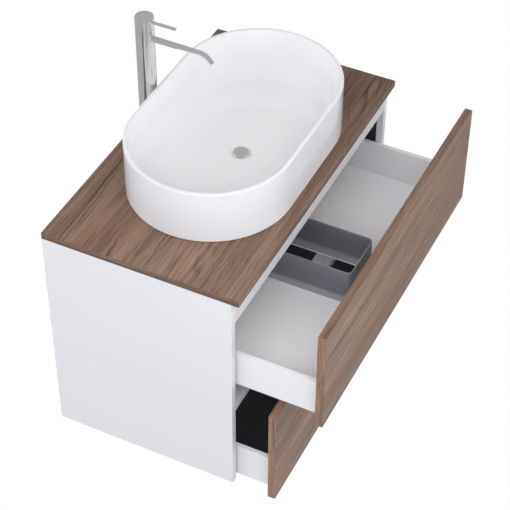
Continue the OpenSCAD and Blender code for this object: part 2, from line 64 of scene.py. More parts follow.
# ------------------------------------------------------------------ materials
class Net:
    """Short hand for a node tree: every method returns an output socket."""

    def __init__(self, name):
        self.mat = bpy.data.materials.new(name)
        self.mat.use_nodes = True
        self.t = self.mat.node_tree
        self.t.nodes.clear()
        self.out = self.t.nodes.new("ShaderNodeOutputMaterial")
        self.bsdf = self.t.nodes.new("ShaderNodeBsdfPrincipled")
        self.t.links.new(self.bsdf.outputs[0], self.out.inputs["Surface"])

    def link(self, socket, value):
        if isinstance(value, bpy.types.NodeSocket):
            self.t.links.new(value, socket)
        elif value is not None:
            socket.default_value = value

    def obj(self):
        return self.t.nodes.new("ShaderNodeTexCoord").outputs["Object"]

    def sep(self, v):
        n = self.t.nodes.new("ShaderNodeSeparateXYZ")
        self.link(n.inputs[0], v)
        return n.outputs[0], n.outputs[1], n.outputs[2]

    def vec(self, x, y, z):
        n = self.t.nodes.new("ShaderNodeCombineXYZ")
        for i, v in enumerate((x, y, z)):
            self.link(n.inputs[i], v)
        return n.outputs[0]

    def m(self, op, a, b=None, c=None, clamp=False):
        n = self.t.nodes.new("ShaderNodeMath")
        n.operation = op
        n.use_clamp = clamp
        for i, v in enumerate((a, b, c)):
            if v is not None:
                self.link(n.inputs[i], v)
        return n.outputs[0]

    def add(self, *a):
        s = a[0]
        for v in a[1:]:
            s = self.m("ADD", s, v)
        return s

    def mul(self, a, b):
        return self.m("MULTIPLY", a, b)

    def noise(self, v, scale=1.0, detail=2.0, rough=0.5, lac=2.0, dist=0.0, w=None):
        n = self.t.nodes.new("ShaderNodeTexNoise")
        if w is not None:
            n.noise_dimensions = "4D"
            n.inputs["W"].default_value = w
        self.link(n.inputs["Vector"], v)
        n.inputs["Scale"].default_value = scale
        n.inputs["Detail"].default_value = detail
        n.inputs["Roughness"].default_value = rough
        n.inputs["Lacunarity"].default_value = lac
        n.inputs["Distortion"].default_value = dist
        return n.outputs[0]

    def voronoi(self, v, scale=1.0, feature="F1", rand=1.0):
        n = self.t.nodes.new("ShaderNodeTexVoronoi")
        n.feature = feature
        self.link(n.inputs["Vector"], v)
        n.inputs["Scale"].default_value = scale
        n.inputs["Randomness"].default_value = rand
        return n.outputs["Distance"]

    def ramp(self, f, stops, mode="LINEAR"):
        n = self.t.nodes.new("ShaderNodeValToRGB")
        n.color_ramp.interpolation = mode
        e = n.color_ramp.elements
        while len(e) > 1:
            e.remove(e[-1])
        e[0].position, e[0].color = stops[0][0], (*stops[0][1], 1)
        for p, c in stops[1:]:
            x = e.new(p)
            x.color = (*c, 1)
        self.link(n.inputs[0], f)
        return n.outputs[0]

    def fit(self, v, a, b, c, d, smooth=False):
        n = self.t.nodes.new("ShaderNodeMapRange")
        if smooth:
            n.interpolation_type = "SMOOTHSTEP"
        self.link(n.inputs[0], v)
        for i, x in enumerate((a, b, c, d)):
            n.inputs[i + 1].default_value = x
        return n.outputs[0]

    def mix(self, f, a, b, mode="MIX"):
        n = self.t.nodes.new("ShaderNodeMix")
        n.data_type = "RGBA"
        n.blend_type = mode
        self.link(n.inputs[0], f)
        self.link(n.inputs[6], a if isinstance(a, bpy.types.NodeSocket) else (*a, 1))
        self.link(n.inputs[7], b if isinstance(b, bpy.types.NodeSocket) else (*b, 1))
        return n.outputs[2]

    def bump(self, h, strength=0.3, dist=0.0002, normal=None):
        n = self.t.nodes.new("ShaderNodeBump")
        n.inputs["Strength"].default_value = strength
        n.inputs["Distance"].default_value = dist
        self.link(n.inputs["Height"], h)
        if normal is not None:
            self.link(n.inputs["Normal"], normal)
        return n.outputs[0]

    def edge(self, radius=0.0015):
        """1 near a convex edge, 0 on the flats, from the mesh's own pointiness; the materials mix a lighter colour in
        with it, a painted highlight along the edges.
        """
        g = self.t.nodes.new("ShaderNodeNewGeometry")
        return self.fit(g.outputs["Pointiness"], 0.505, 0.56, 0.0, 1.0)

    def set(self, color=None, rough=None, normal=None, **more):
        b = self.bsdf.inputs
        if color is not None:
            self.link(b["Base Color"], color if isinstance(color, bpy.types.NodeSocket) else (*color, 1))
        if rough is not None:
            self.link(b["Roughness"], rough)
        if normal is not None:
            self.link(b["Normal"], normal)
        for k, v in more.items():
            b[k.replace("_", " ")].default_value = v
        return self.mat


def walnut(name, along, across, seed, hearts=(), gain=1.0, shade_fade=None, figure=1.0, tint=(1.0, 1.0, 1.0), warm=0.0, gloss=0.42):
    """Walnut veneer. along/across name the object's axes; hearts are (along, across, slope) of nested arches.

    gain is the overall lightness; fade is (from, to, gain) along the grain, a painted shade that darkens the veneer
    towards one end where less light falls; figure is the strength of the rings.
    """
    n = Net(name)
    ax = dict(zip("xyz", n.sep(n.obj())))
    u, v = ax[along], ax[across]
    # slow wander, small ripple and, here and there, a wavy stretch
    wander = n.noise(n.vec(n.mul(u, 1.1), n.mul(v, 2.6), seed), detail=2.0)
    ripple = n.noise(n.vec(n.mul(u, 7.0), n.mul(v, 18.0), seed + 3.1), detail=3.0, rough=0.55)
    wave = n.noise(n.vec(n.mul(u, 19.0), n.mul(v, 9.0), seed + 4.3), detail=1.0)
    wavy = n.fit(n.noise(n.vec(n.mul(u, 2.2), n.mul(v, 11.0), seed + 6.2), detail=1.0), 0.50, 0.66, 0.0, 1.0, True)
    vv = n.add(v, n.mul(n.add(wander, -0.5), 0.034), n.mul(n.add(ripple, -0.5), 0.0060), n.mul(n.mul(n.add(wave, -0.5), wavy), 0.012 * figure))
    # growth rings round the nearest heart line; without one they run straight
    r = None
    for hu, hv, slope in hearts:
        dv, du = n.add(vv, -hv), n.mul(n.add(u, -hu), slope)
        q = n.m("SQRT", n.add(n.mul(dv, dv), n.mul(du, du)))
        r = q if r is None else n.m("SMOOTH_MIN", r, q, 0.008)
    r = vv if r is None else r
    vary = n.noise(n.vec(n.mul(r, 30.0), n.mul(u, 0.6), seed + 9.0), detail=2.0)
    phase = n.add(n.mul(r, 120.0), n.mul(vary, 6.0), n.mul(ripple, 0.9))
    saw = n.m("FRACT", phase)
    own = n.noise(n.vec(n.mul(n.m("FLOOR", phase), 7.37), n.mul(u, 1.6), seed + 15.0), detail=0.0)
    ring = n.mul(n.fit(saw, 0.38, 0.92, 0.0, 1.0, True), n.fit(saw, 0.94, 1.0, 1.0, 0.0, True))
    ring = n.mul(n.m("POWER", ring, 1.6), n.fit(own, 0.42, 0.66, 0.12, 1.0))
    ringy = n.fit(n.noise(n.vec(n.mul(u, 1.6), n.mul(vv, 9.0), seed + 5.0), detail=2.0), 0.38, 0.60, 0.30, 1.0, True)
    # streaks along the grain, from broad to hair-fine
    broad = n.noise(n.vec(n.mul(u, 0.8), n.mul(vv, 8.0), seed + 1.0), detail=1.0, rough=0.5)
    grain = n.noise(n.vec(n.mul(u, 1.3), n.mul(vv, 36.0), seed + 2.0), detail=6.0, rough=0.72)
    streak = n.noise(n.vec(n.mul(u, 4.2), n.mul(vv, 120.0), seed + 8.0), detail=2.0, rough=0.6)
    fine = n.noise(n.vec(n.mul(u, 9.0), n.mul(v, 330.0), seed + 7.0), detail=4.0, rough=0.65)
    dark = n.fit(n.noise(n.vec(n.mul(u, 1.0), n.mul(vv, 70.0), seed + 13.0), detail=3.0, rough=0.6), 0.56, 0.68, 0.0, 1.0, True)
    # short open pores
    pore_n = n.noise(n.vec(n.mul(u, 42.0), n.mul(v, 1350.0), seed + 11.0), detail=1.0)
    pores = n.fit(pore_n, 0.60, 0.72, 0.0, 1.0, True)
    dash = n.fit(n.noise(n.vec(n.mul(u, 17.0), n.mul(vv, 300.0), seed + 19.0), detail=2.0, rough=0.6), 0.58, 0.68, 0.0, 1.0, True)
    t = n.add(
        n.mul(n.add(broad, -0.5), 0.30 + 0.50 * figure),
        n.mul(n.add(grain, -0.5), 0.85 + 0.35 * figure),
        n.mul(n.add(streak, -0.5), 0.85),
        n.mul(n.add(fine, -0.5), 1.05),
        n.mul(n.mul(ring, ringy), -0.52 * figure),
        n.mul(dark, -0.24 * figure),
        n.mul(pores, -0.10),
        n.mul(dash, -0.26),
        0.70,
    )
    col = n.ramp(
        t,
        [
            (0.00, (0.062, 0.033, 0.023)),
            (0.22, (0.130, 0.076, 0.053)),
            (0.45, (0.203, 0.127, 0.091)),
            (0.68, (0.272, 0.180, 0.132)),
            (1.00, (0.370, 0.262, 0.200)),
        ],
    )
    # greyer and redder patches
    hue = n.fit(n.noise(n.vec(n.mul(u, 1.5), n.mul(vv, 9.0), seed + 17.0), detail=2.0), 0.38, 0.62, 0.0, 1.0, True)
    col = n.mix(hue, n.mix(1.0, col, (0.97, 1.0, 1.02), "MULTIPLY"), n.mix(1.0, col, (1.04, 0.985, 0.98), "MULTIPLY"))
    if warm:
        col = n.mix(warm, col, (1.16, 0.94, 0.80), "MULTIPLY")
    if tint != (1.0, 1.0, 1.0):
        col = n.mix(1.0, col, tint, "MULTIPLY")
    # painted shade: darker along the grain over the given range, standing in for light that falls off towards that end
    if shade_fade:
        drift = n.add(u, n.mul(n.add(wander, -0.5), 0.35))
        tint = n.ramp(n.fit(drift, shade_fade[0], shade_fade[1], 0.0, 1.0), [(0.0, (gain, gain, gain)), (1.0, (gain * shade_fade[2], gain * shade_fade[2] * 0.97, gain * shade_fade[2] * 0.94))])
        col = n.mix(1.0, col, tint, "MULTIPLY")
    elif gain != 1.0:
        col = n.mix(1.0, col, (gain, gain, gain), "MULTIPLY")
    rough = n.add(0.36, n.mul(fine, 0.14), n.mul(pores, 0.12))
    height = n.add(n.mul(grain, 0.4), n.mul(fine, 0.4), n.mul(pores, -0.9))
    return n.set(col, rough, n.bump(height, 0.35, 0.00025), Specular_IOR_Level=gloss)


def white_board(name="white_board", gain=1.0):
    n = Net(name)
    p = n.obj()
    cloud = n.noise(p, 5.0, 2.0)
    pearl = n.noise(p, 900.0, 3.0, 0.6)
    k = n.add(n.mul(cloud, 0.35), n.mul(pearl, 0.65))
    col = n.ramp(k, [(0.25, (0.728, 0.729, 0.764)), (0.75, (0.768, 0.769, 0.801))])
    # painted highlight: lighter along convex edges
    col = n.mix(n.mul(n.edge(), 0.4), col, (0.84, 0.84, 0.86))
    if gain != 1.0:
        col = n.mix(1.0, col, (gain, gain, gain), "MULTIPLY")
    rough = n.fit(n.noise(p, 60.0, 3.0), 0.3, 0.7, 0.40, 0.52)
    return n.set(col, rough, n.bump(pearl, 0.12, 0.00012), Specular_IOR_Level=0.4)


def board_edge():
    n = Net("white_edge_band")
    p = n.obj()
    k = n.noise(p, 300.0, 3.0, 0.6)
    col = n.ramp(k, [(0.3, (0.845, 0.845, 0.875)), (0.7, (0.885, 0.885, 0.91))])
    rough = n.fit(n.noise(p, 40.0, 2.0), 0.3, 0.7, 0.30, 0.42)
    return n.set(col, rough, n.bump(k, 0.10, 0.0001))


# Painted shade: a near-black surface for cabinet insides that lie in deep shade.
def painted_interior_shade():
    n = Net("painted_interior_shade")
    p = n.obj()
    pearl = n.noise(p, 700.0, 3.0, 0.6)
    col = n.ramp(pearl, [(0.3, (0.016, 0.016, 0.024)), (0.7, (0.026, 0.026, 0.036))])
    return n.set(col, n.fit(pearl, 0.3, 0.7, 0.5, 0.62), n.bump(pearl, 0.2, 0.00015))


def white_steel():
    n = Net("white_powder_coat")
    p = n.obj()
    peel = n.noise(p, 420.0, 3.0, 0.55)
    cloud = n.noise(p, 8.0, 2.0)
    col = n.ramp(cloud, [(0.3, (0.760, 0.768, 0.805)), (0.7, (0.790, 0.798, 0.832))])
    # painted highlight: lighter along convex edges
    col = n.mix(n.mul(n.edge(), 0.6), col, (0.87, 0.87, 0.89))
    return n.set(col, n.fit(peel, 0.3, 0.7, 0.34, 0.46), n.bump(peel, 0.16, 0.00018))


def anthracite():
    n = Net("anthracite_moulded")
    p = n.obj()
    spark = n.noise(p, 1400.0, 3.0, 0.65)
    cloud = n.noise(p, 18.0, 3.0)
    col = n.ramp(n.add(n.mul(spark, 0.6), n.mul(cloud, 0.4)), [(0.3, (0.148, 0.156, 0.182)), (0.7, (0.190, 0.200, 0.230))])
    # painted highlight: much lighter along convex edges, standing in for rim light
    col = n.mix(n.mul(n.edge(), 0.8), col, (0.42, 0.43, 0.46))
    return n.set(col, n.fit(spark, 0.3, 0.7, 0.42, 0.56), n.bump(spark, 0.28, 0.00015))


def ceramic(name="glazed_ceramic", tint=(1.0, 1.0, 1.0)):
    n = Net(name)
    p = n.obj()
    wavy = n.noise(p, 9.0, 2.0, 0.4)
    speck = n.noise(p, 260.0, 3.0, 0.6)
    col = n.ramp(n.add(n.mul(wavy, 0.5), n.mul(speck, 0.5)), [(0.3, (0.800, 0.801, 0.816)), (0.7, (0.822, 0.822, 0.836))])
    if tint != (1.0, 1.0, 1.0):
        col = n.mix(1.0, col, tint, "MULTIPLY")
    rough = n.fit(speck, 0.3, 0.7, 0.10, 0.16)
    return n.set(col, rough, n.bump(wavy, 0.10, 0.0012), Specular_IOR_Level=0.5, Coat_Weight=0.35, Coat_Roughness=0.05)


def chrome():
    n = Net("polished_chrome")
    p = n.obj()
    x, y, z = n.sep(p)
    haze = n.noise(p, 35.0, 3.0)
    lines = n.noise(n.vec(n.mul(x, 40.0), n.mul(y, 40.0), n.mul(z, 2600.0)), 1.0, 2.0)
    spots = n.fit(n.noise(p, 240.0, 2.0), 0.66, 0.80, 0.0, 1.0, True)
    col = n.ramp(haze, [(0.3, (0.815, 0.818, 0.825)), (0.7, (0.855, 0.857, 0.862))])
    rough = n.add(0.055, n.mul(haze, 0.05), n.mul(spots, 0.06))
    return n.set(col, rough, n.bump(lines, 0.02, 0.00003), Metallic=1.0)


# A pale satin chrome for the waste ring's top. Its whitish colour is partly a real satin finish and partly painted
# reflection of the white basin.
def satin_chrome_painted_reflection():
    n = Net("satin_chrome_painted_reflection")
    p = n.obj()
    x, y, z = n.sep(p)
    turn = n.noise(n.vec(n.mul(x, 30.0), n.mul(y, 30.0), n.mul(z, 2200.0)), 1.0, 3.0)
    haze = n.noise(p, 60.0, 3.0)
    col = n.ramp(haze, [(0.3, (0.840, 0.845, 0.858)), (0.7, (0.880, 0.884, 0.894))])
    return n.set(col, n.add(0.22, n.mul(turn, 0.12)), n.bump(turn, 0.05, 0.00004), Metallic=0.3)


def brass():
    n = Net("turned_brass")
    p = n.obj()
    x, y, z = n.sep(p)
    turn = n.noise(n.vec(n.mul(x, 25.0), n.mul(y, 25.0), n.mul(z, 3000.0)), 1.0, 3.0)
    cloud = n.noise(p, 40.0, 4.0, 0.6)
    col = n.ramp(cloud, [(0.25, (0.42, 0.29, 0.11)), (0.55, (0.60, 0.45, 0.20)), (0.8, (0.70, 0.55, 0.28))])
    return n.set(col, n.add(0.24, n.mul(turn, 0.18)), n.bump(turn, 0.15, 0.00006), Metallic=1.0)


def zinc_cast():
    n = Net("zinc_casting")
    p = n.obj()
    grain = n.noise(p, 520.0, 4.0, 0.65)
    cloud = n.noise(p, 45.0, 3.0)
    col = n.ramp(n.add(n.mul(grain, 0.5), n.mul(cloud, 0.5)), [(0.3, (0.36, 0.37, 0.385)), (0.7, (0.52, 0.53, 0.545))])
    # painted highlight: lighter along convex edges
    col = n.mix(n.mul(n.edge(), 0.6), col, (0.66, 0.67, 0.68))
    return n.set(col, n.fit(grain, 0.3, 0.7, 0.38, 0.55), n.bump(grain, 0.3, 0.0002), Metallic=0.9)


def zinc_steel():
    n = Net("zinc_plated_steel")
    p = n.obj()
    x, y, z = n.sep(p)
    roll = n.noise(n.vec(n.mul(x, 900.0), n.mul(y, 12.0), n.mul(z, 900.0)), 1.0, 3.0, 0.6)
    spangle = n.voronoi(p, 130.0)
    col = n.ramp(n.add(n.mul(roll, 0.5), n.mul(spangle, 0.6)), [(0.2, (0.48, 0.50, 0.53)), (0.8, (0.66, 0.68, 0.71))])
    return n.set(col, n.add(0.24, n.mul(roll, 0.16), n.mul(spangle, 0.10)), n.bump(roll, 0.12, 0.00005), Metallic=1.0)


def white_plastic():
    n = Net("white_moulded_plastic")
    p = n.obj()
    fl = n.noise(p, 30.0, 3.0)
    fine = n.noise(p, 900.0, 2.0)
    col = n.ramp(fl, [(0.3, (0.76, 0.765, 0.77)), (0.7, (0.82, 0.825, 0.83))])
    # painted highlight: lighter along convex edges
    col = n.mix(n.mul(n.edge(), 0.4), col, (0.88, 0.88, 0.88))
    return n.set(col, n.fit(fine, 0.3, 0.7, 0.26, 0.36), n.bump(fine, 0.10, 0.0001), Subsurface_Weight=0.03, Subsurface_Radius=(0.002, 0.002, 0.002))


def rubber():
    n = Net("black_rubber")
    p = n.obj()
    k = n.noise(p, 500.0, 4.0, 0.6)
    col = n.ramp(k, [(0.3, (0.018, 0.018, 0.019)), (0.7, (0.040, 0.040, 0.042))])
    return n.set(col, n.fit(k, 0.3, 0.7, 0.62, 0.82), n.bump(k, 0.3, 0.0002))


def beech():
    n = Net("beech")
    x, y, z = n.sep(n.obj())
    g = n.noise(n.vec(n.mul(x, 30.0), n.mul(y, 700.0), n.mul(z, 700.0)), 1.0, 4.0, 0.6)
    col = n.ramp(g, [(0.3, (0.46, 0.30, 0.16)), (0.7, (0.62, 0.45, 0.27))])
    return n.set(col, n.add(0.5, n.mul(g, 0.2)), n.bump(g, 0.25, 0.0002))


M = {
    # The worktop and the fronts darken towards their right ends: painted shade for the light falling off there, and on
    # the worktop also for the basin's shadow.
    "walnut_top": walnut("walnut_top", "x", "y", 2.4, ((0.30, -0.190, 0.10), (0.34, -0.338, 0.075), (-0.60, -0.262, 0.10), (-0.27, -0.400, 0.12)), gain=0.75, shade_fade=(-0.35, 0.40, 0.65), tint=(1.0, 0.93, 0.87)),
    "walnut_top_side": walnut("walnut_top_side", "y", "z", 31.0, gain=0.72, warm=0.2),
    "walnut_top_front": walnut("walnut_top_front", "x", "z", 41.0, gain=0.78, shade_fade=(-0.35, 0.40, 0.75), warm=0.2),
    "walnut_face": walnut("walnut_face", "x", "z", 12.7, ((-0.9, -0.075, 0.05),), gain=1.05, shade_fade=(-0.40, 0.40, 0.86), figure=0.45, tint=(1.0, 0.975, 0.95)),
    "walnut_band_z": walnut("walnut_band_z", "z", "y", 52.0, gain=1.0, warm=0.4),
    "walnut_band_x": walnut("walnut_band_x", "x", "y", 61.0, gain=0.68, warm=0.45),
    "white_board": white_board(),
    # painted light: a brighter copy of the white board, so the upper drawer's base looks more lit
    "white_base_painted_light": white_board("white_base_board", 1.24),
    "board_edge": board_edge(),
    "painted_interior_shade": painted_interior_shade(),
    "white_steel": white_steel(),
    "anthracite": anthracite(),
    "ceramic": ceramic(),
    # Copies of one glaze: the outer wall is slightly bluer as painted light, the rim's top darker as painted shade.
    "ceramic_wall": ceramic("glazed_ceramic_wall", (0.975, 0.995, 1.025)),
    "ceramic_rim_painted_shade": ceramic("glazed_ceramic_rim_painted_shade", (0.94, 0.94, 0.95)),
    "chrome": chrome(),
    "satin_chrome_painted_reflection": satin_chrome_painted_reflection(),
    "brass": brass(),
    "zinc_cast": zinc_cast(),
    "zinc_steel": zinc_steel(),
    "white_plastic": white_plastic(),
    "rubber": rubber(),
    "beech": beech(),
}
SLOT_MATERIAL = {
    "walnut": "walnut_face",
    "white_board": "white_board",
    "white_steel": "white_steel",
    "anthracite_plastic": "anthracite",
    "ceramic": "ceramic",
    "chrome": "chrome",
    "brass": "brass",
    "zinc_cast": "zinc_cast",
    "zinc_steel": "zinc_steel",
    "white_plastic": "white_plastic",
    "rubber": "rubber",
    "beech": "beech",
}
NODE_SLOT = {s["node"]: s["material_slot"] for s in frame["record"]["subparts"]}
for _n, _o in NODES.items():
    _o.data.materials.clear()
    _o.data.materials.append(M[SLOT_MATERIAL[NODE_SLOT[_n]]])
    for _p in _o.data.polygons:
        _p.material_index = 0


# ------------------------------------------------------------------ mesh tools
def closed(bm):
    return all(len(e.link_faces) == 2 for e in bm.edges)


def finish_piece(name, bm, nodes, mats, rule=None, smooth_deg=35.0, weighted=True):
    """Makes an object of bm that stands for the CAD nodes and rides on their body."""
    bmesh.ops.recalc_face_normals(bm, faces=bm.faces)
    if not closed(bm):
        print("OPEN MESH", name)
    for f in bm.faces:
        f.smooth = True
        if rule is not None:
            f.material_index = rule(f.calc_center_median(), f.normal)
    me = bpy.data.meshes.new(name)
    bm.to_mesh(me)
    bm.free()
    me.set_sharp_from_angle(angle=math.radians(smooth_deg))
    ob = bpy.data.objects.new(name, me)
    bpy.context.scene.collection.objects.link(ob)
    for m in mats:
        me.materials.append(M[m])
    if weighted:
        w = ob.modifiers.new("weighted", "WEIGHTED_NORMAL")
        w.mode = "FACE_AREA"
        w.weight = 80
        w.keep_sharp = True
        dg = bpy.context.evaluated_depsgraph_get()
        new = bpy.data.meshes.new_from_object(ob.evaluated_get(dg), depsgraph=dg)
        ob.modifiers.clear()
        old = ob.data
        ob.data = new
        bpy.data.meshes.remove(old)
        new.name = name
    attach(ob, BODY[nodes[0]])
    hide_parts(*nodes)
    return ob


def cad_bm(node):
    bm = bmesh.new()
    bm.from_mesh(NODES[node].data)
    bmesh.ops.remove_doubles(bm, verts=bm.verts, dist=3e-6)
    bmesh.ops.dissolve_limit(bm, angle_limit=math.radians(0.4), verts=bm.verts, edges=bm.edges)
    bmesh.ops.recalc_face_normals(bm, faces=bm.faces)
    return bm


def soften(bm, width, segs=2, deg=30.0):
    edges = [e for e in bm.edges if len(e.link_faces) == 2 and e.calc_face_angle(0.0) > math.radians(deg)]
    bmesh.ops.bevel(bm, geom=edges, offset=width, offset_type="OFFSET", segments=segs, profile=0.5, affect="EDGES", clamp_overlap=True)


def refine(node, mats, width=0.5, segs=2, rule=None, cuts=(), name=None, deg=30.0):
    """The CAD node with its sharp edges broken, as a new piece. Falls back to the CAD mesh if the result isn't closed."""
    bm = cad_bm(node)
    for co, no in cuts:
        bmesh.ops.bisect_plane(bm, geom=bm.verts[:] + bm.edges[:] + bm.faces[:], plane_co=co, plane_no=no)
    was = closed(bm)
    soften(bm, width * MM, segs, deg)
    if not closed(bm):
        print("bevel left open edges on", node, "closed before:", was)
        bm.free()
        return None
    return finish_piece(name or node + "_v", bm, [node], mats, rule)


def rounded(pts, n=4):
    """Profile points (x, y, radius) with their corners rounded."""
    out = []
    k = len(pts)
    for i, (x, y, rad) in enumerate(pts):
        p = Vector((x, y))
        a = Vector(pts[i - 1][:2]) - p
        b = Vector(pts[(i + 1) % k][:2]) - p
        if rad <= 0 or a.length < 1e-9 or b.length < 1e-9:
            out.append((x, y))
            continue
        la, lb = a.length, b.length
        a.normalize()
        b.normalize()
        ang = math.acos(max(-1, min(1, a.dot(b))))
        if ang > math.pi - 0.02:
            out.append((x, y))
            continue
        d = min(rad / math.tan(ang / 2), la * 0.49, lb * 0.49)
        r = d * math.tan(ang / 2)
        c = p + (a + b).normalized() * (r / math.sin(ang / 2))
        s, e = p + a * d - c, p + b * d - c
        sweep = math.atan2(s.x * e.y - s.y * e.x, s.dot(e))
        for j in range(n + 1):
            t = sweep * j / n
            out.append((c.x + s.x * math.cos(t) - s.y * math.sin(t), c.y + s.x * math.sin(t) + s.y * math.cos(t)))
    return out


def lathe_into(bm, prof, segs=96, mat=Matrix.Identity(4), rmod=None):
    """Revolves a profile of (r, z) in mm about Z; points on the axis become poles. mat places it, in metres."""
    rings = []
    for r, z in prof:
        if r < 1e-6:
            rings.append([bm.verts.new(mat @ Vector((0, 0, z * MM)))])
            continue
        ring = []
        for i in range(segs):
            t = 2 * math.pi * i / segs
            rr = rmod(r, z, t) if rmod else r
            ring.append(bm.verts.new(mat @ Vector((rr * MM * math.cos(t), rr * MM * math.sin(t), z * MM))))
        rings.append(ring)
    for k in range(len(rings)):
        a, b = rings[k], rings[(k + 1) % len(rings)]
        if len(a) == 1 and len(b) == 1:
            continue
        for i in range(segs):
            j = (i + 1) % segs
            if len(a) == 1:
                bm.faces.new((a[0], b[i], b[j]))
            elif len(b) == 1:
                bm.faces.new((a[i], b[0], a[j]))
            else:
                bm.faces.new((a[i], b[i], b[j], a[j]))
    return rings


def at(x, y, z=0.0, axis="z"):
    """Placement in mm; axis is where the profile's own Z points."""
    t = Matrix.Translation(Vector((x, y, z)) * MM)
    if axis == "y":
        return t @ Matrix.Rotation(math.radians(-90), 4, "X")
    if axis == "-y":
        return t @ Matrix.Rotation(math.radians(90), 4, "X")
    if axis == "x":
        return t @ Matrix.Rotation(math.radians(90), 4, "Y")
    return t


def lathe(name, node, prof, place, segs=96, rmod=None, mats=None, extra=None, n=4, smooth_deg=35.0, rule=None):
    bm = bmesh.new()
    lathe_into(bm, rounded(prof, n), segs, place, rmod)
    if extra:
        extra(bm)
    return finish_piece(name, bm, [node], mats or [SLOT_MATERIAL[NODE_SLOT[node]]], rule, smooth_deg=smooth_deg)


def ribs(count, height, share):
    """Grip ribs on the outer radius: count ribs, height in mm, each over share of its pitch."""

    def f(r, z, t):
        u = (t * count / (2 * math.pi)) % 1.0
        d = abs(u - 0.5) * 2
        k = max(0.0, min(1.0, (share - d) / (share * 0.45)))
        return r + height * (k * k * (3 - 2 * k))

    return f


# measures in mm in the row's frame, repeated from the construction
ZT, ZU, ZB = 57.0, 41.0, -513.0
TAP_Y, WASTE_Y, BASIN_X, BASIN_Y = -36.0, -262.0, 8.0, -245.0
YC = -439.0
FLOOR = ZT + 11.0


# ------------------------------------------------------------------ boards
def top_rule(c, nrm):
    if abs(nrm.z) > 0.9:
        return 0
    return 1 if abs(nrm.x) > abs(nrm.y) else 2


refine("worktop", ["walnut_top", "walnut_top_side", "walnut_top_front"], 0.7, 2, top_rule, name="worktop_board")


def front_rule(c, nrm):
    if abs(nrm.y) > 0.9:
        return 0
    return 1 if abs(nrm.x) > abs(nrm.z) else 2


for _n in ("upper_front", "lower_front"):
    refine(_n, ["walnut_face", "walnut_band_z", "walnut_band_x"], 0.8, 2, front_rule, name=_n + "_board")


def panel_rule(side):
    def f(c, nrm):
        # inner faces deeper than 15 mm from the front take the near-black painted shade
        if nrm.x * side < -0.9 and c.y > (YC + 15) * MM + 1e-5:
            return 2
        return 0 if abs(nrm.x) > 0.9 else 1

    return f


for _n, _s in (("side_panel_left", -1), ("side_panel_right", 1)):
    # the cut 15 mm behind the front is where the near-black painted shade begins on the inner faces
    refine(_n, ["white_board", "board_edge", "painted_interior_shade"], 0.5, 2, panel_rule(_s), cuts=[(Vector((0, (YC + 15) * MM, 0)), Vector((0, 1, 0)))], name=_n + "_board")


def rail_rule(c, nrm):
    return 1 if abs(nrm.x) < 0.5 and abs(nrm.y) < 0.5 and abs(nrm.z) > 0.9 else 0


for _n in ("top_front_rail", "top_rear_rail", "bottom_rear_rail", "mid_front_rail"):
    refine(_n, ["white_board", "board_edge"], 0.5, 2, name=_n + "_board")
# the upper drawer's base takes the brighter copy of the white board, painted light
refine("upper_base", ["white_base_painted_light"], 0.3, 1, name="upper_base_board")
# the lower drawer base's top face takes the near-black painted shade
refine("lower_base", ["white_board", "painted_interior_shade"], 0.3, 1, lambda c, nrm: 1 if nrm.z > 0.9 else 0, name="lower_base_board")
for _n in ("upper_back_left", "upper_back_right", "lower_back"):
    refine(_n, ["white_board"], 0.5, 2, name=_n + "_board")
for _n in ("upper_side_left", "upper_side_right", "lower_side_left", "lower_side_right"):
    refine(_n, ["white_steel"], 0.45, 2, name=_n + "_wall")


# ------------------------------------------------------------------ basin
def stadium(half, rad, count_arc=64, count_run=20):
    """Points of the basin's outline, anticlockwise from the right end's front, in mm."""
    pts = []
    for i in range(count_arc):
        t = -math.pi / 2 + math.pi * i / count_arc
        pts.append((half + rad * math.cos(t), rad * math.sin(t)))
    for i in range(count_run):
        pts.append((half - 2 * half * i / count_run, rad))
    for i in range(count_arc):
        t = math.pi / 2 + math.pi * i / count_arc
        pts.append((-half + rad * math.cos(t), rad * math.sin(t)))
    for i in range(count_run):
        pts.append((-half + 2 * half * i / count_run, -rad))
    return [(BASIN_X + x, BASIN_Y + y) for x, y in pts]


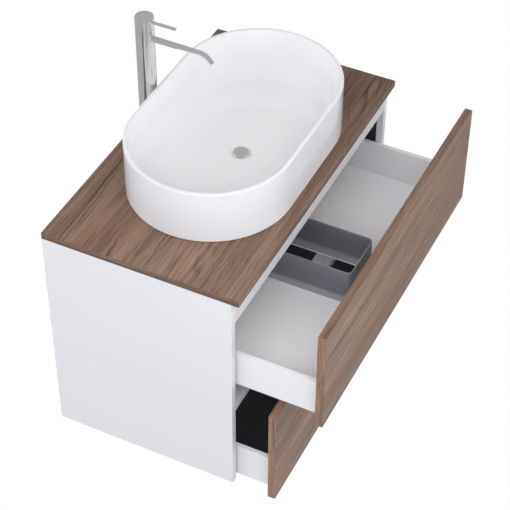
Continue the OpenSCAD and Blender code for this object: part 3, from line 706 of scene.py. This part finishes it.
def build_basin():
    R, rim, h = 183.5, 8.0, 127.0
    Ri, half = R - rim, 114.0
    bowl, fz = 46.0, 11.0
    rise = 2.6  # the floor's fall from the bowl's foot to the waste
    rings = []  # (radius, z above the worktop)
    # underside: foot recess, then the outer wall
    foot = R - 14
    rings += [(foot - 30, 5.0), (foot - 3, 5.0), (foot - 1.2, 4.6), (foot - 0.3, 3.8), (foot, 0.6), (foot + 0.6, 0.0)]
    rings += [(R - 3.2, 0.0)]
    for i in range(1, 6):
        a = math.radians(-90 + 90 * i / 5)
        rings.append((R - 3 + 3 * math.cos(a), 3 + 3 * math.sin(a)))
    for z in (20, 45, 70, 95, 113, 121):
        rings.append((R, float(z)))
    e = e_rim = 1.2  # softened edges of the flat rim
    for i in range(0, 6):
        a = math.radians(90 * i / 5)
        rings.append((R - e + e * math.cos(a), h - e + e * math.sin(a)))
    rings += [(R - rim / 2 + 1.4, h), (R - rim / 2 - 1.4, h)]
    for i in range(0, 6):
        a = math.radians(90 + 90 * i / 5)
        rings.append((Ri + e + e * math.cos(a), h - e + e * math.sin(a)))
    cz = fz + rise + bowl
    for z in (121, 113, 100, 86, 72):
        rings.append((Ri - 2.0 * (h - e - z) / (h - e - cz), float(z)))
    cx = Ri - 2.0 - bowl
    for i in range(0, 17):
        a = math.radians(-76 * i / 16)
        rings.append((cx + bowl * math.cos(a), cz + bowl * math.sin(a)))
    cx, lip = rings[-1]  # a faint line is left where the fillet meets the floor
    bm = bmesh.new()
    rows = []
    for rad, z in rings:
        rows.append([bm.verts.new(Vector((x, y, ZT + z)) * MM) for x, y in stadium(half, rad)])
    n = len(rows[0])
    # floor: from the bowl's foot to the waste hole, falling gently
    start = stadium(half, cx)
    for s in [0.002] + [k / 14.0 for k in range(1, 15)]:
        e = s ** 0.8
        row = []
        for i, (x, y) in enumerate(start):
            t = math.atan2(y - WASTE_Y, x)
            wx, wy = 23.2 * math.cos(t), WASTE_Y + 23.2 * math.sin(t)
            z = fz + (lip - fz) * (1 - e)
            row.append(bm.verts.new(Vector((x + (wx - x) * e, y + (wy - y) * e, ZT + z)) * MM))
        rows.append(row)
    # rounded edge of the hole, the hole's wall, and the underside back out to the foot
    tail = []
    for r_, z_ in ((22.6, fz - 0.3), (22.2, fz - 0.8), (22.0, fz - 1.6), (22.0, 5.6), (22.4, 5.15), (23.0, 5.0)):
        row = []
        for x, y in start:
            t = math.atan2(y - WASTE_Y, x)
            row.append(bm.verts.new(Vector((r_ * math.cos(t), WASTE_Y + r_ * math.sin(t), ZT + z_)) * MM))
        tail.append(row)
    rows += tail
    for a, b in zip(rows, rows[1:] + rows[:1]):
        for i in range(n):
            j = (i + 1) % n
            bm.faces.new((a[i], b[i], b[j], a[j]))

    def wall(c, nrm):
        x, y = c.x / MM - BASIN_X, c.y / MM - BASIN_Y
        x = max(abs(x) - half, 0.0)
        # the rim's top takes the darker copy of the glaze, painted shade; the outer wall the bluer copy, painted light
        if nrm.z > 0.7 and c.z > (ZT + h - 2) * MM:
            return 2
        return 1 if math.hypot(x, y) > R - e_rim - 0.01 else 0

    return finish_piece("basin_bowl", bm, ["basin"], ["ceramic", "ceramic_wall", "ceramic_rim_painted_shade"], wall, smooth_deg=50.0)


build_basin()

# ------------------------------------------------------------------ waste
WF = FLOOR


def bridge(bm):
    lathe_into(bm, [(7.0, WF - 26), (7.0, WF - 20), (4.06, WF - 20), (4.06, WF - 26)], 48, at(0, WASTE_Y))
    for s in (-1, 1):
        bmesh.ops.create_cube(bm, size=1.0, matrix=Matrix.Translation(Vector((s * 11.8, WASTE_Y, WF - 23)) * MM) @ Matrix.Diagonal(Vector((11.0, 4.6, 5.4, 1000)) * MM))


def threads(z0, z1, r, pitch, depth):
    """Profile points of plain thread ridges on an outer wall, upwards."""
    out = []
    k = max(1, int((z1 - z0) / pitch))
    p = (z1 - z0) / k
    for i in range(k):
        z = z0 + i * p
        out += [(r - depth, z + 0.04 * p, 0), (r, z + 0.42 * p, 0), (r, z + 0.58 * p, 0), (r - depth, z + 0.96 * p, 0)]
    return out


_prof = [(23.4, WF + 0.02, 0.2), (23.75, WF + 0.6, 0.4), (23.0, WF + 1.98, 0.5), (19.5, WF + 1.9, 0.4), (18.9, WF + 0.9, 0.3), (17.0, WF + 0.9, 0.4), (17.0, ZU - 44 + 0.02, 0.2), (20.1, ZU - 44 + 0.02, 0.2)]
_prof += threads(ZU - 43, ZU - 2, 20.85, 2.0, 0.7)
_prof += [(20.85, ZU - 1, 0), (20.85, WF + 0.02, 0)]
lathe(
    "waste_ring",
    "waste_body",
    _prof,
    at(0, WASTE_Y),
    128,
    mats=["chrome", "satin_chrome_painted_reflection"],
    extra=bridge,
    n=3,
    smooth_deg=28,
    # the ring's top faces take the pale chrome, partly painted reflection of the white basin
    rule=lambda c, nrm: 1 if c.z > WF * MM else 0,
)
lathe(
    "waste_cap",
    "waste_plug",
    [(0, WF - 34, 0), (3.4, WF - 34, 0), (4.0, WF - 33.4, 0.2), (4.0, WF + 2.4, 0.4), (18.4, WF + 2.32, 0.2), (19.1, WF + 2.42, 0.2), (17.0, WF + 5.1, 1.0), (14.5, WF + 5.45, 2.0), (0, WF + 5.58, 0)],
    at(0, WASTE_Y),
    128,
    n=5,
)
lathe("waste_cap_seal", "waste_plug_seal", [(12.0, WF - 0.68, 0.3), (16.4, WF - 0.68, 0.6), (16.4, WF + 2.3, 0.3), (12.0, WF + 2.3, 0.2)], at(0, WASTE_Y), 96)
lathe("waste_washer", "waste_gasket", [(21.0, ZU - 3, 0.3), (30.0, ZU - 3, 0.8), (30.0, ZU, 0.3), (21.0, ZU, 0.2)], at(0, WASTE_Y), 96)


def hexed(across):
    """Turns the outer radius into a hexagon, chamfered where the profile is lower than the corner."""

    def f(r, z, t):
        if r < across * 0.75:
            return r
        a = (t % (math.pi / 3)) - math.pi / 6
        return min(r, across * math.cos(math.pi / 6) / math.cos(a))

    return f


lathe("waste_locknut", "waste_nut", [(21.0, ZU - 13, 0.4), (28.4, ZU - 13, 0), (31.0, ZU - 11.4, 0), (31.0, ZU - 4.6, 0), (28.4, ZU - 3, 0), (21.0, ZU - 3, 0.4)], at(0, WASTE_Y), 144, hexed(31.0), smooth_deg=20)

# ------------------------------------------------------------------ trap
PR = 16.0
_OZ = ZT - 176.0
lathe(
    "trap_tailpiece_nut",
    "tailpiece_nut",
    [(PR + 0.2, ZU - 60, 0.3), (21.0, ZU - 60, 0.8), (23.8, ZU - 57.5, 0.6), (24.0, ZU - 44.5, 0.5), (23.2, ZU - 42, 0.5), (21.0, ZU - 42, 0.2), (21.0, ZU - 50, 0.2), (PR + 0.2, ZU - 50, 0.2)],
    at(0, WASTE_Y),
    192,
    lambda r, z, t: ribs(24, 1.6, 0.62)(r, z, t) if r > 23.6 else r,
)
lathe(
    "trap_tailpiece",
    "tailpiece",
    [(PR - 1.5, ZT - 232, 0.4), (PR, ZT - 232, 0.5), (PR, ZU - 49.6, 0.4), (20.4, ZU - 49, 0.4), (20.4, ZU - 45, 0.5), (PR - 1.5, ZU - 45, 0.3)],
    at(0, WASTE_Y),
    96,
)


def branch(bm):
    lathe_into(bm, rounded([(PR + 0.25, 22.0, 0), (19.0, 22.0, 0)] + threads(26.2, 44.0, 19.95, 2.2, 0.6) + [(19.6, 45.0, 0.2), (PR + 0.25, 45.0, 0.3)], 3), 96, at(0, WASTE_Y, _OZ, "y"))


lathe(
    "trap_head",
    "trap_body",
    [(25.0, ZT - 208, 0.4), (28.0, ZT - 208, 0.4), (28.0, ZT - 150.0, 3.0), (24.0, ZT - 145.5, 3.0), (21.0, ZT - 143, 1.2), (21.0, ZT - 134.0, 1.5), (PR + 0.25, ZT - 134.0, 0.4), (PR + 0.25, ZT - 151.6, 0.4), (25.0, ZT - 151.8, 0.6)],
    at(0, WASTE_Y),
    128,
    extra=branch,
)
lathe(
    "trap_bottle",
    "trap_cup",
    [(28.2, ZT - 208.5, 0.2), (28.2, ZT - 198, 0.3), (31.8, ZT - 198, 0.8), (32.2, ZT - 200, 0.6), (32.4, ZT - 217.5, 0.8), (30.2, ZT - 220.4, 0.8), (30.0, ZT - 248.0, 5.0), (22.5, ZT - 259.9, 4.0), (0, ZT - 259.95, 0), (0, ZT - 256, 0), (21.0, ZT - 256, 4.0), (25.0, ZT - 250, 3.0), (25.0, ZT - 208.5, 0.3)],
    at(0, WASTE_Y),
    192,
    lambda r, z, t: ribs(24, 1.4, 0.6)(r, z, t) if r > 31.6 and z > ZT - 219.5 else r,
)
lathe(
    "trap_outlet_ring",
    "trap_outlet_nut",
    [(20.2, 36.0, 0.3), (22.6, 36.0, 0.5), (22.9, 38.0, 0.5), (22.9, 51.0, 0.5), (21.0, 54.0, 0.8), (PR + 0.2, 54.0, 0.3), (PR + 0.2, 46.2, 0.2), (20.2, 46.2, 0.2)],
    at(0, WASTE_Y, _OZ, "y"),
    192,
    lambda r, z, t: ribs(24, 1.6, 0.62)(r, z, t) if r > 22.5 else r,
)
lathe(
    "trap_wall_pipe",
    "trap_outlet_pipe",
    [(PR - 1.5, WASTE_Y + 31, 0.3), (PR, WASTE_Y + 31, 0.3), (PR, -65, 0.2), (PR + 1.5, -65, 0.9), (PR + 1.5, -62, 0.9), (PR, -62, 0.2), (PR, 0, 0.4), (PR - 1.5, 0, 0.4)],
    at(0, 0, _OZ, "y"),
    96,
)

# ------------------------------------------------------------------ tap
TR = 20.5
TZ = ZT + 299.0
SEAM = TZ - 30.0
SPOUT_Z = SEAM - 22.0
LEVER_Z = TZ - 10.0
lathe("tap_foot_ring", "tap_base_gasket", [(16.4, ZT, 0.2), (TR - 0.4, ZT, 0.5), (TR - 0.4, ZT + 1.5, 0.4), (16.4, ZT + 1.5, 0.2)], at(0, TAP_Y), 128)
lathe(
    "tap_body",
    "tap_column",
    [(16.0, ZT + 1.5, 0.3), (TR, ZT + 1.5, 0.5), (TR, SEAM - 0.4, 0.4), (17.6, SEAM - 0.4, 0.3), (17.6, SEAM - 40, 0.3), (6.0, SEAM - 40, 0.3), (6.0, ZT + 180, 0.3), (16.0, ZT + 180, 0.3)],
    at(0, TAP_Y),
    160,
)
lathe(
    "tap_head",
    "tap_cap",
    [(4.0, SEAM + 10, 0), (4.0, SEAM + 4, 0.2), (17.0, SEAM + 4, 0.3), (17.0, SEAM, 0.3), (TR, SEAM, 0.45), (TR, TZ, 0.7), (0, TZ, 0), (0, SEAM + 10, 0)],
    at(0, TAP_Y),
    160,
    n=5,
)
lathe("tap_pin", "tap_lever", [(0, 0, 0), (3.5, 0, 0.2), (3.5, 63.0, 0.7), (0, 63.0, 0)], at(0, TAP_Y - 12.5, LEVER_Z, "-y"), 64, n=5)
lathe("tap_locknut", "tap_shank_nut", [(16.0, ZU - 11, 0.4), (20.9, ZU - 11, 0), (23.0, ZU - 9.8, 0), (23.0, ZU - 4.2, 0), (20.9, ZU - 3, 0), (16.0, ZU - 3, 0.4)], at(0, TAP_Y), 144, hexed(23.0), smooth_deg=20)
lathe("tap_washer", "tap_clamp_washer", [(16.4, ZU - 3, 0.3), (25.0, ZU - 3, 0.5), (25.0, ZU, 0.3), (16.4, ZU, 0.2)], at(0, TAP_Y), 96)


def build_spout():
    reach, R, tip, r = 128.0, 30.0, 14.0, 5.75
    start = TR - 1.0
    run = reach - start
    yb = TAP_Y - reach
    a45 = math.radians(45)
    bend = R * a45

    def path(s):
        """Point and direction at length s from the column's face, in the Y-Z plane."""
        if s <= run:
            return Vector((0, TAP_Y - start - s, SPOUT_Z)), Vector((0, -1, 0))
        s -= run
        if s <= bend:
            t = s / R
            return Vector((0, yb - R * math.sin(t), SPOUT_Z - R * (1 - math.cos(t)))), Vector((0, -math.cos(t), -math.sin(t)))
        s -= bend
        d = Vector((0, -math.cos(a45), -math.sin(a45)))
        return Vector((0, yb - R * math.sin(a45), SPOUT_Z - R * (1 - math.cos(a45)))) + d * s, d

    total = run + bend + tip
    rows = []  # length, radius
    for k in range(0, 7):
        rows.append((run * k / 6, r + 1.3 * run * (1 - k / 6) / reach))
    for i in range(1, 15):
        rows.append((run + bend * i / 14, r))
    rows += [(total - 9, r - 0.32), (total - 4, r - 0.64), (total - 0.4, r - 0.88)]
    for i in range(1, 5):
        t = math.radians(90 * i / 4)
        rows.append((total - 0.4 + 0.4 * math.sin(t), r - 1.28 + 0.4 * math.cos(t)))
    rows += [(total, 4.0), (total - 0.08, 3.82), (total - 0.3, 3.75), (total - 10, 3.75)]
    bm = bmesh.new()
    segs = 64
    rings = []
    for s, rad in rows:
        p, d = path(s)
        x = Vector((1, 0, 0))
        y = d.cross(x).normalized()
        rings.append([bm.verts.new((p + (x * math.cos(2 * math.pi * i / segs) + y * math.sin(2 * math.pi * i / segs)) * rad) * MM) for i in range(segs)])
    for a, b in zip(rings, rings[1:]):
        for i in range(segs):
            j = (i + 1) % segs
            bm.faces.new((a[i], b[i], b[j], a[j]))
    for ring, s in ((rings[0], 0.0), (rings[-1], total - 10)):
        c = bm.verts.new(path(s)[0] * MM)
        for i in range(segs):
            bm.faces.new((c, ring[i], ring[(i + 1) % segs]))
    return finish_piece("tap_outlet", bm, ["tap_spout"], ["chrome"], smooth_deg=40)


build_spout()


# ------------------------------------------------------------------ siphon surround
def build_surround():
    cx, y0, y1 = 61.5, -557.0 + 1.5, -238.0
    r = 11.5
    z0, z1, zf = -206.0, -116.0, -183.0
    path = []  # centre line: (x, y, centre of turn or None, direction outwards)
    n = 14
    path.append((-cx, y1, (-1, 0)))
    for k in range(1, 8):
        path.append((-cx, y1 + (y0 + r - y1) * k / 8, (-1, 0)))
    for i in range(n + 1):
        t = math.radians(180 + 90 * i / n)
        path.append((-cx + r + r * math.cos(t), y0 + r + r * math.sin(t), (math.cos(t), math.sin(t))))
    for k in range(1, 4):
        path.append((-cx + r + (2 * cx - 2 * r) * k / 4, y0, (0, -1)))
    for i in range(n + 1):
        t = math.radians(270 + 90 * i / n)
        path.append((cx - r + r * math.cos(t), y0 + r + r * math.sin(t), (math.cos(t), math.sin(t))))
    for k in range(7, 0, -1):
        path.append((cx, y1 + (y0 + r - y1) * k / 8, (1, 0)))
    path.append((cx, y1, (1, 0)))
    prof = rounded(
        [(1.5, z1, 0.8), (-1.5, z1, 0.8), (-1.5, zf, 0.3), (-2.7, zf - 0.9, 0.5), (-2.7, z0, 0.3), (2.7, z0, 0.3), (2.7, zf - 0.9, 0.5), (1.5, zf, 0.3)],
        3,
    )
    bm = bmesh.new()
    rows = []
    for x, y, (ox, oy) in path:
        rows.append([bm.verts.new(Vector((x + ox * o, y + oy * o, z)) * MM) for o, z in prof])
    m = len(prof)
    for a, b in zip(rows, rows[1:]):
        for i in range(m):
            j = (i + 1) % m
            bm.faces.new((a[i], b[i], b[j], a[j]))
    bm.faces.new(rows[0])
    bm.faces.new(list(reversed(rows[-1])))
    return finish_piece("siphon_surround_wall", bm, ["siphon_surround"], ["anthracite"], smooth_deg=30)


build_surround()

# ------------------------------------------------------------------ hardware
for _n in ("hanger_left", "hanger_right"):
    refine(_n, ["zinc_cast"], 0.6, 2, name=_n + "_body")
for _n in ("wall_plate_left", "wall_plate_right"):
    refine(_n, ["zinc_steel"], 0.25, 1, name=_n + "_strip")


# ------------------------------------------------------------------ stage, light and camera
def plane(name, verts, mat):
    me = bpy.data.meshes.new(name)
    me.from_pydata([tuple(c * MM for c in v) for v in verts], [], [tuple(range(len(verts)))])
    me.materials.append(mat)
    ob = bpy.data.objects.new(name, me)
    bpy.context.scene.collection.objects.link(ob)
    return ob


def ray_mix(t, camera, glossy, other):
    """One shader for what the camera sees, one for mirror images, one for light."""
    lp = t.nodes.new("ShaderNodeLightPath")
    m1 = t.nodes.new("ShaderNodeMixShader")
    m2 = t.nodes.new("ShaderNodeMixShader")
    t.links.new(lp.outputs["Is Glossy Ray"], m1.inputs[0])
    t.links.new(other.outputs[0], m1.inputs[1])
    t.links.new(glossy.outputs[0], m1.inputs[2])
    t.links.new(lp.outputs["Is Camera Ray"], m2.inputs[0])
    t.links.new(m1.outputs[0], m2.inputs[1])
    t.links.new(camera.outputs[0], m2.inputs[2])
    return m2


SKY = 0.60  # soft light from all round
MIRROR = 0.45  # what polished parts reflect of the room


def stage():
    mat = bpy.data.materials.new("pale_floor")
    mat.use_nodes = True
    t = mat.node_tree
    t.nodes.clear()
    out = t.nodes.new("ShaderNodeOutputMaterial")
    dif = t.nodes.new("ShaderNodeBsdfDiffuse")
    dif.inputs[0].default_value = (0.70, 0.71, 0.73, 1)
    em = t.nodes.new("ShaderNodeEmission")
    em.inputs[0].default_value = (1, 1, 1, 1)
    em.inputs[1].default_value = 1.0
    gl = t.nodes.new("ShaderNodeEmission")
    gl.inputs[0].default_value = (1, 1, 1, 1)
    gl.inputs[1].default_value = MIRROR
    t.links.new(ray_mix(t, em, gl, dif).outputs[0], out.inputs[0])
    z = ZT - 850
    plane("floor", [(-14000, -14000, z), (14000, -14000, z), (14000, 14000, z), (-14000, 14000, z)], mat)
    w = bpy.data.worlds.new("studio")
    bpy.context.scene.world = w
    w.use_nodes = True
    t = w.node_tree
    t.nodes.clear()
    out = t.nodes.new("ShaderNodeOutputWorld")
    kinds = []
    for col, k in (((1, 1, 1, 1), 1.0), ((1, 1, 1, 1), MIRROR), ((0.98, 0.985, 1.0, 1), SKY)):
        b = t.nodes.new("ShaderNodeBackground")
        b.inputs[0].default_value = col
        b.inputs[1].default_value = k
        kinds.append(b)
    t.links.new(ray_mix(t, *kinds).outputs[0], out.inputs[0])


def area(name, azimuth, height, level, size=1.8, dist=4.0, aim=(0, -0.3, 0)):
    """Soft box seen from the object at azimuth (from +X towards +Y) and height in degrees; level is the brightness it gives a white face turned to it."""
    a, h = math.radians(azimuth), math.radians(height)
    d = Vector((math.cos(a) * math.cos(h), math.sin(a) * math.cos(h), math.sin(h)))
    li = bpy.data.lights.new(name, "AREA")
    li.shape = "RECTANGLE"
    li.size = li.size_y = size
    li.energy = level * math.pi * math.pi * dist * dist
    ob = bpy.data.objects.new(name, li)
    ob.location = Vector(aim) + d * dist
    ob.rotation_euler = (-d).to_track_quat("-Z", "Y").to_euler()
    ob.visible_glossy = False
    bpy.context.scene.collection.objects.link(ob)
    return ob


stage()
area("left", 180, 42, 0.245)
area("front", 270, 18, 0.235)
area("right", 315, 18, 0.08)
area("back", 90, 18, 0.193)
area("back_left", 135, 18, 0.173)
area("key", 250, 50, 0.224, 0.5, 1.1, (-0.25, -0.3, 0.06))
area("corner", 225, 35, 0.191, 0.5, 1.1, (-0.25, -0.3, 0.06))

cam = bpy.data.cameras.new("camera")
cam.sensor_fit = "HORIZONTAL"
cam.sensor_width = 36.0
cam.lens = 1655.6926 / 510.0 * 36.0
cam.clip_end = 60.0
cam_ob = bpy.data.objects.new("camera", cam)
right = Vector((0.44097311, -0.89751368, 0.00345096))
down = Vector((-0.61515481, -0.30503779, -0.72700516))
ahead = Vector((0.65354975, 0.31846685, -0.68662332))
rot = Matrix((right, -down, -ahead)).transposed()
cam_ob.matrix_world = Matrix.Translation(Vector((-2.4604775, -1.4949804, 2.3081435 + ZT * MM))) @ rot.to_4x4()
bpy.context.scene.collection.objects.link(cam_ob)
bpy.context.scene.camera = cam_ob
bpy.context.scene.view_settings.view_transform = "Standard"
bpy.context.scene.view_settings.look = "None"
